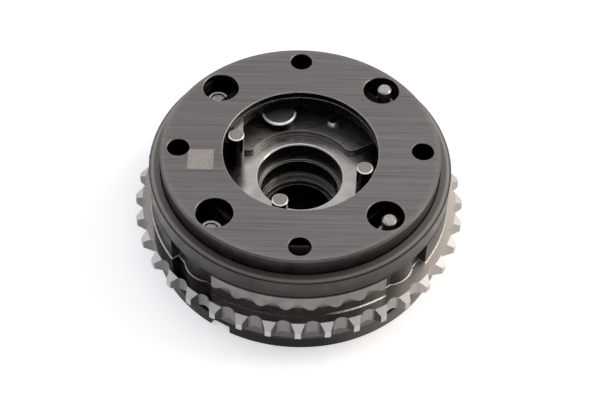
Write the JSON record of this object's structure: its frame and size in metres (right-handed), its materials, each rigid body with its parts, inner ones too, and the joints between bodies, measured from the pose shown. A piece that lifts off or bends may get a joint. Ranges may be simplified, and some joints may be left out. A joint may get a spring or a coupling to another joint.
{
  "type": "cam phaser",
  "caption": "Camshaft phaser: a chain wheel housing in which a vane rotor turns between stops against a flat spiral spring, with a lock pin under a round cover.",
  "frame": {"origin": "centre of the rear face, which lies on the floor", "axes": "+Z along the camshaft axis from the camshaft side to the spring cover; +X through a tooth and a hole of the cover, midway between the two hanger screws; +Y completes the frame"},
  "size_m": [0.1098, 0.1098, 0.0415],
  "materials": {
    "sintered_steel": "matte sintered steel, ground wall",
    "blackened_steel": "dark oxide",
    "plate_steel": "turned, satin",
    "cover_steel": "ground in straight lines",
    "spring_steel": "oiled, satin",
    "ground_steel": "ground bright",
    "stamped_steel": "dark satin",
    "pin_steel": "ground, hardened",
    "screw_steel": "zinc phosphate, satin",
    "seal_plastic": "moulded, matte"
  },
  "bodies": {
    "housing": {"stator_sprocket": "sintered_steel", "rear_plate": "blackened_steel", "front_plate": "plate_steel", "front_cover": "cover_steel", "clamp_screw_1": "screw_steel", "clamp_screw_2": "screw_steel", "hanger_screw_1": "screw_steel", "hanger_screw_2": "screw_steel", "dowel_1": "pin_steel", "dowel_2": "pin_steel", "return_spring": "spring_steel"},
    "rotor": {"rotor": "ground_steel", "vane_seal_1": "seal_plastic", "vane_seal_2": "seal_plastic", "vane_seal_3": "seal_plastic", "vane_seal_4": "seal_plastic", "seal_spring_1": "spring_steel", "seal_spring_2": "spring_steel", "seal_spring_3": "spring_steel", "seal_spring_4": "spring_steel", "spring_pin_1": "pin_steel", "spring_pin_2": "pin_steel", "spring_pin_3": "pin_steel", "lock_plate": "stamped_steel", "plate_rivet": "pin_steel", "lock_sleeve": "pin_steel", "lock_cap": "pin_steel", "lock_spring": "spring_steel"},
    "lock_pin": {"lock_pin": "pin_steel"}
  },
  "joints": [
    {"name": "rotor_turn", "type": "hinge", "parent": "housing", "child": "rotor", "pos_m": [0, 0, 0.017], "axis": [0, 0, 1], "range_deg": [-35, 0], "stiffness_Nm_per_rad": 0.5, "springref_deg": 34.38, "deforming": ["return_spring"]},
    {"name": "lock_pin_slide", "type": "slide", "parent": "rotor", "child": "lock_pin", "axis": [0, 0, 1], "range_m": [-0.0024, 0], "stiffness_N_per_m": 800, "deforming": ["lock_spring"]}
  ]
}
